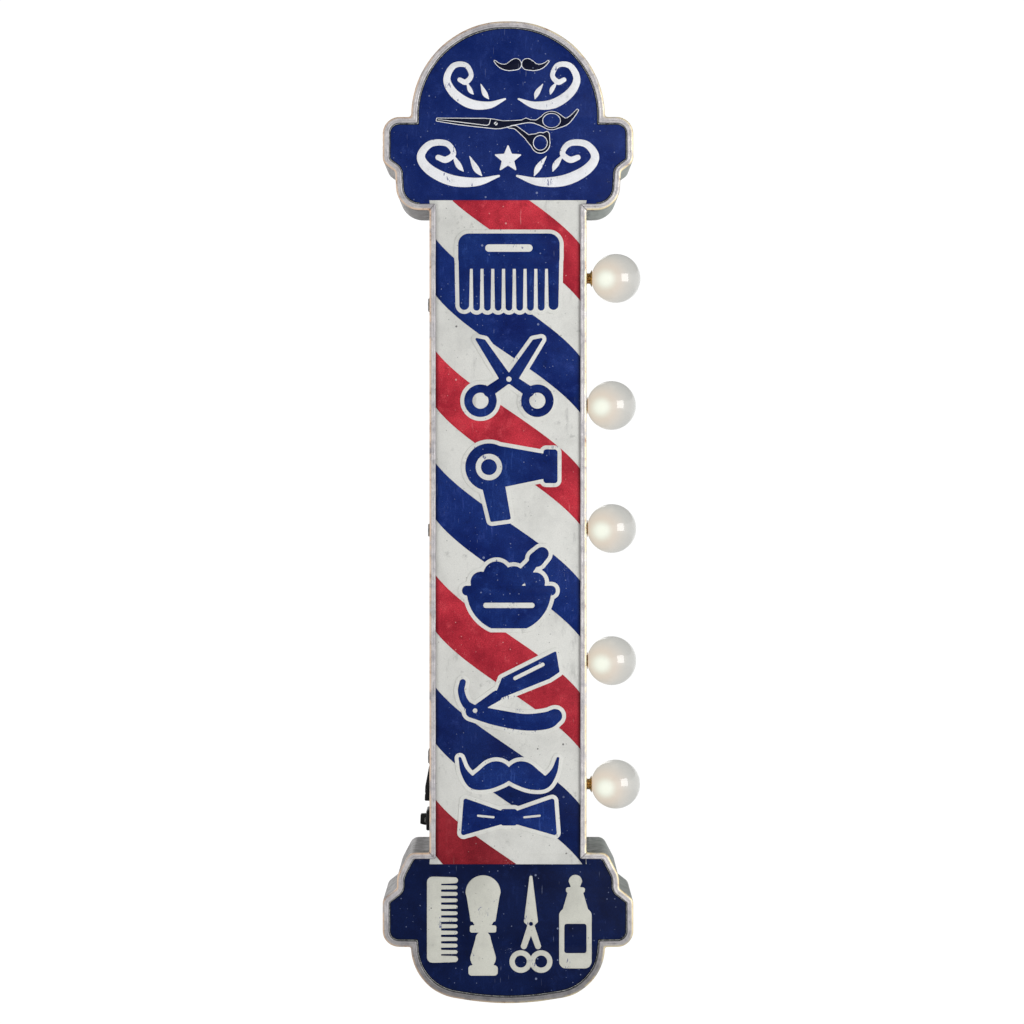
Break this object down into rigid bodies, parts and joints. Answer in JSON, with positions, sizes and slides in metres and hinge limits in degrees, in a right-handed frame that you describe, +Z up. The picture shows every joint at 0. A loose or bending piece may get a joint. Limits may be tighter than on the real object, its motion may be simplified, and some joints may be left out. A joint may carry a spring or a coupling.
{
  "type": "barber pole light",
  "caption": "Flat two-faced barber pole marquee light in a sheet-metal casing, with globe lamps along one edge and hangers, a battery door and a slide switch on the other.",
  "frame": {"origin": "centre of the middle hanger's outer face, on the side that meets the wall", "axes": "+Z up along the pole, +Y from the front face to the back face, +X away from the wall towards the lamps"},
  "size_m": [0.1694, 0.0826, 0.6383],
  "materials": {
    "zinc_casing": "matte zinc-grey sheet with a worn silver rim",
    "printed_face": "satin print, deep blue, red and cream, distressed",
    "opal_globe": "glossy opal white, lit warm near the neck",
    "aged_brass": "dark antique brass",
    "lamp_chip": "clear lens, lit warm white",
    "bronzed_steel": "bronzed, slightly worn",
    "bright_steel": "plated",
    "black_plastic": "moulded, fine texture",
    "cell_jacket": "plain printed film sleeve",
    "red_insulation": "insulated wire",
    "black_insulation": "insulated wire"
  },
  "bodies": {
    "casing": {"head_band": "zinc_casing", "base_band": "zinc_casing", "lamp_side_wall": "zinc_casing", "hanger_side_wall": "zinc_casing", "front_panel": "printed_face", "back_panel": "printed_face", "globe_1": "opal_globe", "globe_2": "opal_globe", "globe_3": "opal_globe", "globe_4": "opal_globe", "globe_5": "opal_globe", "ferrule_1": "aged_brass", "ferrule_2": "aged_brass", "ferrule_3": "aged_brass", "ferrule_4": "aged_brass", "ferrule_5": "aged_brass", "nipple_1": "aged_brass", "nipple_2": "aged_brass", "nipple_3": "aged_brass", "nipple_4": "aged_brass", "nipple_5": "aged_brass", "lamp_nut_1": "aged_brass", "lamp_nut_2": "aged_brass", "lamp_nut_3": "aged_brass", "lamp_nut_4": "aged_brass", "lamp_nut_5": "aged_brass", "led_1": "lamp_chip", "led_2": "lamp_chip", "led_3": "lamp_chip", "led_4": "lamp_chip", "led_5": "lamp_chip", "hanger_upper": "bronzed_steel", "hanger_middle": "bronzed_steel", "hanger_lower": "bronzed_steel", "rivet_upper_front": "bright_steel", "rivet_upper_back": "bright_steel", "rivet_middle_front": "bright_steel", "rivet_middle_back": "bright_steel", "rivet_lower_front": "bright_steel", "rivet_lower_back": "bright_steel", "switch_screw_front": "bright_steel", "switch_screw_back": "bright_steel", "battery_spring_upper": "bright_steel", "battery_spring_lower": "bright_steel", "bridge_contact": "bright_steel", "positive_contact": "bright_steel", "negative_contact": "bright_steel", "battery_box": "black_plastic", "switch_bezel": "black_plastic", "switch_body": "black_plastic", "cell_upper": "cell_jacket", "cell_lower": "cell_jacket", "wire_switch_to_lamps": "red_insulation", "wire_battery_to_switch": "red_insulation", "wire_battery_to_lamps": "black_insulation"},
    "battery_door": {"battery_door": "black_plastic"},
    "switch_knob": {"switch_knob": "black_plastic"}
  },
  "joints": [
    {"name": "battery_door_hinge", "type": "hinge", "parent": "casing", "child": "battery_door", "pos_m": [0.00135, 0, -0.15465], "axis": [0, 1, 0], "range_deg": [0, 80]},
    {"name": "switch_slide", "type": "slide", "parent": "casing", "child": "switch_knob", "axis": [0, 1, 0], "range_m": [0, 0.005]}
  ]
}
